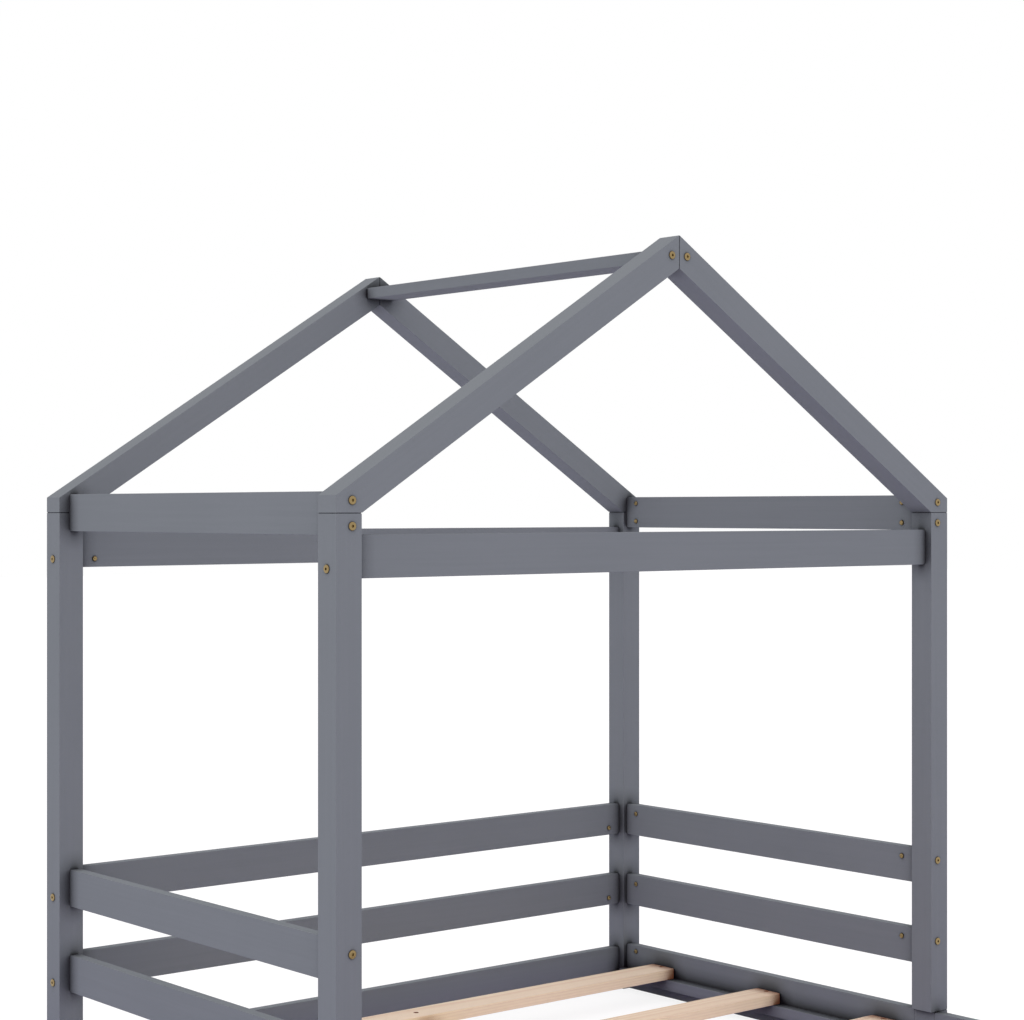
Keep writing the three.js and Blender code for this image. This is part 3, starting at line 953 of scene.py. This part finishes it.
def dress_paint(tree, shader, here, place):
    """Matt paint over softwood: the grain shows faintly in tone and relief, with a fine peel.

    Painted shade darkens it where other pieces lie close, but mostly not next to the floor.
    """
    looks = settings("finishes")
    fibres = grouped(tree, "Wood grain",
                     {"Place": place, "Fibre length": 0.32, "Fibre width": 0.0065})
    thick = fibres["Fibres"] * 0.55 + fibres["Drift"] * 0.45
    tone = mixed(tree, span(tree, thick, 0.36, 0.64), looks.paint, looks.paint_deep)
    # lighter on sharp arrises: thin paint, and a painted highlight along the edges
    thin_and_highlight = span(tree, add(tree, "NewGeometry")["Pointiness"], 0.52, 0.60) * 0.35
    tone = mixed(tree, thin_and_highlight, tone, looks.paint_thin_highlight)
    height = split(tree, here["Object"])[2]
    # most of the painted shade is left out close to the floor
    low = span(tree, height, looks.floor_reach, looks.floor_reach * 1.4, 0.85, 0.0)
    peel = noise(tree, place, scale=520.0, roughness=0.55)
    # painted shade: darker paint where other pieces lie close
    shade = shaded(tree, tone, looks.paint_joint, looks.joint_reach)
    fill(shader, {
        "Base Color": mixed(tree, low, shade, tone),
        "Roughness": (peel - 0.5) * 0.16 + looks.paint_roughness,
        "Specular IOR Level": looks.paint_gloss,
        "Normal": bumped(tree, fibres["Fine fibres"] * 0.7 + peel * 0.3, 0.2, looks.wood_relief),
    })


def dress_pine(tree, shader, here, place):
    """Planed pine: growth rings, fibres and a few knots, with a matt, slightly ridged face."""
    looks = settings("finishes")
    fibres = grouped(tree, "Wood grain",
                     {"Place": place, "Fibre length": 0.12, "Fibre width": 0.0022})
    figure = grouped(tree, "Pine figure", {
        "Place": place, "Board pitch": looks.pine_pitch, "Ring width": looks.pine_rings,
    })
    fine = span(tree, fibres["Fine fibres"], 0.40, 0.75) * 0.16
    # painted light: narrow faces get the paler colour and fainter latewood, so that they look as
    # lit as the top
    flat = split(tree, here["Normal"])[2].maths("ABSOLUTE")
    late = figure["Latewood"] * span(tree, flat, 0.0, 1.0, 0.14, 0.42)
    face = mixed(tree, flat, looks.pine_sides_lit, looks.pine)
    tone = mixed(tree, late + fine, face, looks.pine_late)
    tone = mixed(tree, figure["Knot"] * 0.8, tone, looks.pine_knot)
    relief = figure["Latewood"] * 0.4 + fibres["Fine fibres"] * 0.6
    fill(shader, {
        # painted shade: the pine turns reddish brown where other pieces lie close, as at the slats'
        # ends
        "Base Color": shaded(tree, tone, looks.pine_joint, looks.joint_reach),
        "Roughness": late * -0.3 + 0.68,
        "Normal": bumped(tree, relief, 0.4, looks.wood_relief),
    })


def metal(slot):
    """Brass or steel plating with a light patina, and painted shade in sockets and under heads."""
    if slot in bpy.data.materials:
        return bpy.data.materials[slot]
    looks = settings("finishes")
    # deep is the painted shade colour for sockets and sunk heads
    clean, dull, deep = (getattr(looks, slot + end) for end in ("", "_dull", "_joint"))
    material, tree, shader = new_material(slot)
    patina = grouped(tree, "Metal patina", {
        "Place": add(tree, "TexCoord")["Object"], "Clean": clean, "Dull": dull,
        "Dullness": looks.tarnish,
    })
    fill(shader, {
        "Metallic": 1.0,
        "Base Color": shaded(tree, patina["Color"], deep, looks.recess_reach),
        "Roughness": patina["Roughness"],
        "Normal": bumped(tree, patina["Height"], 0.2, looks.metal_relief),
    })
    return material


# Operators


def make_all(make, nodes):
    for node in nodes:
        make(node)
    return {"FINISHED"}


class HOUSEBED_OT_posts(bpy.types.Operator):
    """Makes the head posts, foot posts, house posts and mid blocks."""

    bl_idname = "house_bed.posts"
    bl_label = "Posts and blocks"

    def execute(self, context):
        return make_all(make_post, POSTS)


class HOUSEBED_OT_rails(bpy.types.Operator):
    """Makes the side rails, the head and foot rails and the slat ledges."""

    bl_idname = "house_bed.rails"
    bl_label = "Rails and ledges"

    def execute(self, context):
        return make_all(make_board, BED_RAILS + LEDGES)


class HOUSEBED_OT_slats(bpy.types.Operator):
    """Makes the pine slats and the centre beam."""

    bl_idname = "house_bed.slats"
    bl_label = "Slats and centre beam"

    def execute(self, context):
        return make_all(make_board, PINE_BOARDS)


class HOUSEBED_OT_house(bpy.types.Operator):
    """Makes the rafters, eave rails, tie beams and ridge board."""

    bl_idname = "house_bed.house"
    bl_label = "House frame"

    def execute(self, context):
        make_all(make_board, HOUSE_BOARDS)
        return make_all(make_rafter, RAFTERS)


class HOUSEBED_OT_guards(bpy.types.Operator):
    """Makes the guard rails on both sides and across the head."""

    bl_idname = "house_bed.guards"
    bl_label = "Guard rails"

    def execute(self, context):
        return make_all(make_board, GUARDS)


class HOUSEBED_OT_connectors(bpy.types.Operator):
    """Makes every connector bolt with its barrel nut."""

    bl_idname = "house_bed.connectors"
    bl_label = "Connector bolts"

    def execute(self, context):
        sizes = settings("connectors")
        for name, start, direction, looks in connectors(sizes):
            seat, shank = nut_seat(start, direction, looks, sizes)
            standout = sizes.ridge_standout if looks[2] else sizes.nut_standout
            nut = barrel_nut(seat + standout * looks, -looks, direction, sizes)
            piece = new_object(name + "_brass", joined([bolt(start, direction, sizes, shank), nut]))
            replaced = [name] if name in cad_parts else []
            finish_piece(piece, metal(BRASS), replaced)
        return {"FINISHED"}


class HOUSEBED_OT_hidden_fixings(bpy.types.Operator):
    """Makes the studs through the mid blocks and the pins up into the house posts."""

    bl_idname = "house_bed.hidden_fixings"
    bl_label = "Studs and pins"

    def execute(self, context):
        sizes = settings("connectors")
        for side in SIDES:
            start, way, reach, nuts = stud_places(side)
            looks = -SIDES[side] * X
            stud = [rod(start, way, reach, sizes.stud, sizes.around, ROD_EASE)]
            stud += [barrel_nut(seat + sizes.nut_standout * looks, -looks, Y, sizes)
                     for seat in nuts]
            foot, reach, radius = pin_place(side)
            pin = [rod(foot, Z, reach, radius, sizes.around, ROD_EASE)]
            for name, parts in ((f"rail_stud_{side}", stud), (f"post_pin_{side}", pin)):
                piece = new_object(name + "_steel", joined(parts))
                finish_piece(piece, metal(STEEL), [name])
        return {"FINISHED"}


class HOUSEBED_OT_screws(bpy.types.Operator):
    """Makes the slat screws and the ledge screws."""

    bl_idname = "house_bed.screws"
    bl_label = "Screws"

    def execute(self, context):
        sizes = settings("screws")
        for name, places_of in (("slat_screws", slat_screw_places),
                                ("ledge_screws", ledge_screw_places)):
            parts = [screw(start + sizes.sink * way, way, sizes) for start, way in places_of()]
            finish_piece(new_object(name, joined(parts)), metal(STEEL))
        return {"FINISHED"}


class HOUSEBED_OT_stage(bpy.types.Operator):
    """Sets up the floor, the light all round, two soft lamps and the camera."""

    bl_idname = "house_bed.stage"
    bl_label = "Stage"

    def execute(self, context):
        scene, sizes = context.scene, settings("stage")
        make_floor(scene, sizes)
        light_world(scene, sizes)
        place_lamps(scene, sizes)
        place_camera(scene, sizes)
        scene.view_settings.view_transform = "Standard"
        return {"FINISHED"}


def make_floor(scene, sizes):
    """A floor that lights the bed by one colour near it and another further out. It looks white."""
    half = sizes.floor / 2
    corners = [[-half, -half, 0], [half, -half, 0], [half, half, 0], [-half, half, 0]]
    mesh = bpy.data.meshes.new("floor")
    mesh.from_pydata(corners, [], [[0, 1, 2, 3]])
    floor = bpy.data.objects.new("floor", mesh)
    scene.collection.objects.link(floor)
    material, tree, shader = new_material("pale floor")
    seen = seen_directly(tree)
    place = add(tree, "TexCoord")["Object"]
    aside = add(tree, "VectorMath", {0: place}, operation="ABSOLUTE")[0]
    beyond = add(tree, "VectorMath", {0: aside, 1: cad_box[1]}, operation="SUBTRACT")[0]
    x, y, _ = split(tree, beyond)
    away = span(tree, x.maths("MAXIMUM", y), 0.0, sizes.floor_reach)
    # painted shadow: a darker, more purple floor under the bed, in the light it gives the bed
    bounce = mixed(tree, away, sizes.floor_near, sizes.floor_colour)
    fill(shader, {
        "Base Color": mixed(tree, seen, bounce, sizes.floor_seen),
        "Roughness": 1.0,
        "Specular IOR Level": 0.0,
        "Emission Color": (1, 1, 1),
        "Emission Strength": seen * sizes.floor_white,
    })
    mesh.materials.append(material)


def light_world(scene, sizes):
    """Light from all round, stronger from above, behind a background that looks white."""
    world = bpy.data.worlds.new("white room")
    scene.world = world
    world.use_nodes = True
    tree = world.node_tree
    tree.nodes.clear()
    up = split(tree, add(tree, "TexCoord")["Generated"])[2]
    level = span(tree, up, 0.0, 1.0, sizes.horizon, sizes.sky, curve="LINEAR")
    light = add(tree, "Background", {"Color": (1, 1, 1), "Strength": level})[0]
    white = add(tree, "Background", {"Color": (1, 1, 1), "Strength": 1.0})[0]
    both = add(tree, "MixShader", {0: seen_directly(tree), 1: light, 2: white})[0]
    add(tree, "OutputWorld", {"Surface": both})


def place_lamps(scene, sizes):
    """A soft lamp overhead and a weak one on the left."""
    for name, energy, way, tint in (
        ("top lamp", sizes.top_light, (0.25, 0.3, -1), sizes.top_tint),
        ("side lamp", sizes.side_light, (1, 0.1, -0.1), sizes.side_tint),
    ):
        lamp = bpy.data.lights.new(name, "SUN")
        lamp.energy = energy
        lamp.angle = sizes.softness
        lamp.color = tint
        holder = bpy.data.objects.new(name, lamp)
        holder.rotation_euler = Vector(way).to_track_quat("-Z", "Y").to_euler()
        scene.collection.objects.link(holder)


def place_camera(scene, sizes):
    """The camera of the photograph: level, and shifted a little to the picture's crop."""
    camera = bpy.data.cameras.new("camera")
    camera.lens = sizes.lens
    camera.sensor_width = 36.0
    camera.sensor_fit = "HORIZONTAL"
    camera.clip_end = 200.0
    camera.shift_x, camera.shift_y = sizes.camera_shift
    holder = bpy.data.objects.new("camera", camera)
    holder.location = sizes.camera_place
    holder.rotation_euler = (math.pi / 2, 0, -sizes.camera_turn)
    scene.collection.objects.link(holder)
    scene.camera = holder


def seen_directly(tree):
    """1 for a ray from the camera, from a gloss or through glass, so that all see plain white."""
    path = add(tree, "LightPath")
    either = path["Is Camera Ray"].maths("MAXIMUM", path["Is Glossy Ray"])
    return either.maths("MAXIMUM", path["Is Transmission Ray"])


class HOUSEBED_PT_panel(bpy.types.Panel):
    """Lists the pieces of the house bed and its sizes."""

    bl_label = "House bed"
    bl_space_type = "VIEW_3D"
    bl_region_type = "UI"
    bl_category = "House bed"

    def draw(self, context):
        for operator in OPERATORS:
            self.layout.operator(operator.bl_idname)
        for name in SETTINGS:
            group = getattr(context.scene, name)
            box = self.layout.box()
            for label in group.__annotations__:
                box.prop(group, label)


SETTINGS = {
    "house_bed_boards": BoardSizes,
    "house_bed_connectors": ConnectorSizes,
    "house_bed_screws": ScrewSizes,
    "house_bed_finishes": Finishes,
    "house_bed_stage": StageSizes,
}
OPERATORS = [
    HOUSEBED_OT_posts,
    HOUSEBED_OT_rails,
    HOUSEBED_OT_slats,
    HOUSEBED_OT_house,
    HOUSEBED_OT_guards,
    HOUSEBED_OT_connectors,
    HOUSEBED_OT_hidden_fixings,
    HOUSEBED_OT_screws,
    HOUSEBED_OT_stage,
]


def register():
    for kind in [*SETTINGS.values(), *OPERATORS, HOUSEBED_PT_panel]:
        bpy.utils.register_class(kind)
    for name, kind in SETTINGS.items():
        setattr(bpy.types.Scene, name, PointerProperty(type=kind))


def unregister():
    for name in SETTINGS:
        delattr(bpy.types.Scene, name)
    for kind in [HOUSEBED_PT_panel, *reversed(OPERATORS), *reversed(list(SETTINGS.values()))]:
        bpy.utils.unregister_class(kind)


def main():
    register()
    for operator in OPERATORS:
        getattr(bpy.ops.house_bed, operator.bl_idname.split(".")[1])()


if __name__ == "__main__":
    main()
